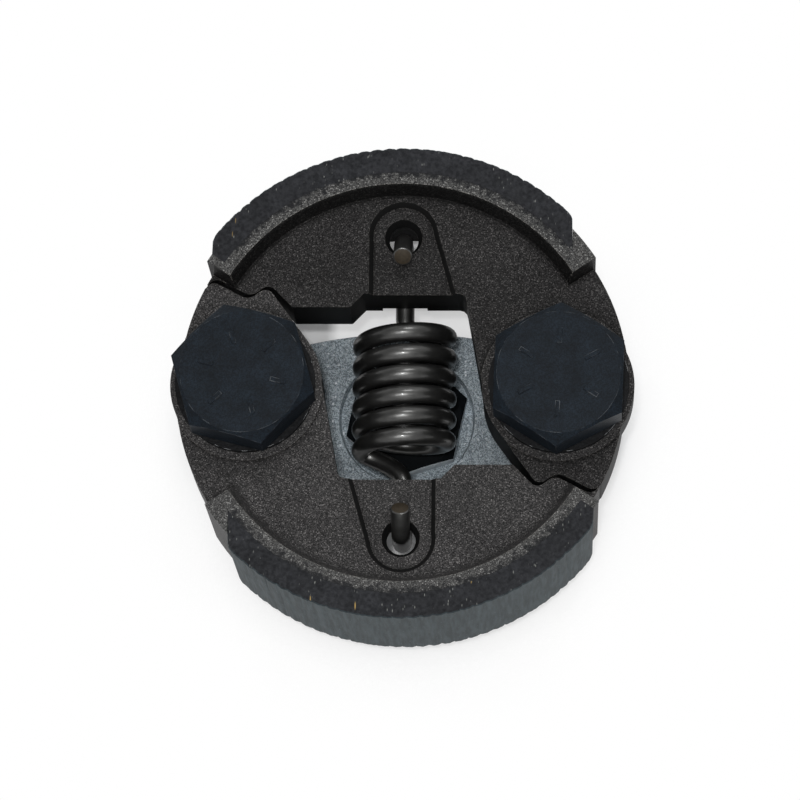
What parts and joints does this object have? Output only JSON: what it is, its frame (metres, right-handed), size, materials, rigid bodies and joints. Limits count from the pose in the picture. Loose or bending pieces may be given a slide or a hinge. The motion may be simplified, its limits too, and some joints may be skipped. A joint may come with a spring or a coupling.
{
  "type": "centrifugal clutch",
  "caption": "Small two-shoe centrifugal clutch: bonded linings, a hooked coil spring between the shoes, shoulder bolts as pivots and a plated base plate with a threaded hub.",
  "frame": {"origin": "on the clutch axis, at the back face of the base plate", "axes": "+Z along the clutch axis towards the bolt heads, X through both bolts, the upper shoe at +Y"},
  "size_m": [0.051, 0.053, 0.0258],
  "materials": {
    "sintered_iron": "rough, granular",
    "lining": "matte, fibrous",
    "black_steel": "black oxide, satin",
    "zinc": "zinc plated, satin",
    "spring_steel": "oil hardened, glossy"
  },
  "bodies": {
    "carrier": {"base_plate": "zinc", "hub": "zinc", "left_bolt": "black_steel", "right_bolt": "black_steel", "left_washer": "black_steel", "right_washer": "black_steel", "spring": "spring_steel"},
    "upper": {"upper_shoe": "sintered_iron", "upper_lining": "lining"},
    "lower": {"lower_shoe": "sintered_iron", "lower_lining": "lining"}
  },
  "joints": [
    {"name": "upper_pivot", "type": "hinge", "parent": "carrier", "child": "upper", "pos_m": [0.0172, 0, 0.0116], "axis": [0, 0, -1], "range_deg": [0, 3], "stiffness_Nm_per_rad": 10.2, "springref_deg": -6.25, "deforming": ["spring"]},
    {"name": "lower_pivot", "type": "hinge", "parent": "carrier", "child": "lower", "pos_m": [-0.0172, 0, 0.0116], "axis": [0, 0, -1], "range_deg": [0, 3], "stiffness_Nm_per_rad": 10.2, "springref_deg": -6.25, "deforming": ["spring"]}
  ]
}
